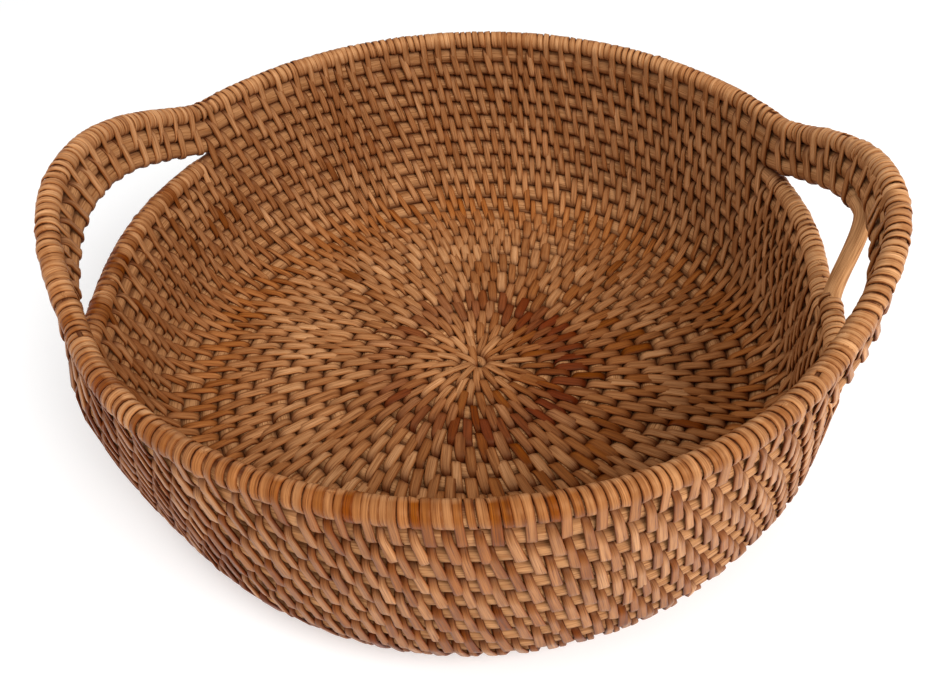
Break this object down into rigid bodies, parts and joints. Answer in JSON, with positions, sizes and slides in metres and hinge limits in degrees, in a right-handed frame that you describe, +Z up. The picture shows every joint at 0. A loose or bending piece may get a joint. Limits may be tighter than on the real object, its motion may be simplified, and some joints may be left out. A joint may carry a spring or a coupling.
{
  "type": "woven wicker basket",
  "caption": "Round coiled rattan basket with a flat base, low upright wall and two raised loop handles over finger gaps.",
  "frame": {"origin": "bottom centre of the basket, on the surface that it stands on", "axes": "+X to the right-hand handle with the bare crossing rod, -Y to the front, +Z up"},
  "size_m": [0.3074, 0.3048, 0.118],
  "materials": {
    "core_rod": "bare round rattan core, dull",
    "split_cane": "split cane, satin"
  },
  "bodies": {
    "root": {"centre_coil": "core_rod", "base_coil_inner": "core_rod", "base_coil_middle": "core_rod", "base_coil_outer": "core_rod", "foot_coil": "core_rod", "corner_coil_lower": "core_rod", "corner_coil_upper": "core_rod", "wall_coil_1": "core_rod", "wall_coil_2": "core_rod", "wall_coil_3": "core_rod", "wall_coil_4": "core_rod", "lower_rim_coil": "core_rod", "crossing_rod": "core_rod", "band_lower_coil": "core_rod", "band_middle_coil": "core_rod", "rim_coil": "core_rod", "back_rim_binding": "split_cane", "front_rim_binding": "split_cane", "left_handle_binding": "split_cane", "right_handle_back_binding": "split_cane", "right_handle_front_binding": "split_cane", "left_gap_binding": "split_cane", "right_gap_front_binding": "split_cane", "right_gap_back_binding": "split_cane"}
  },
  "joints": []
}
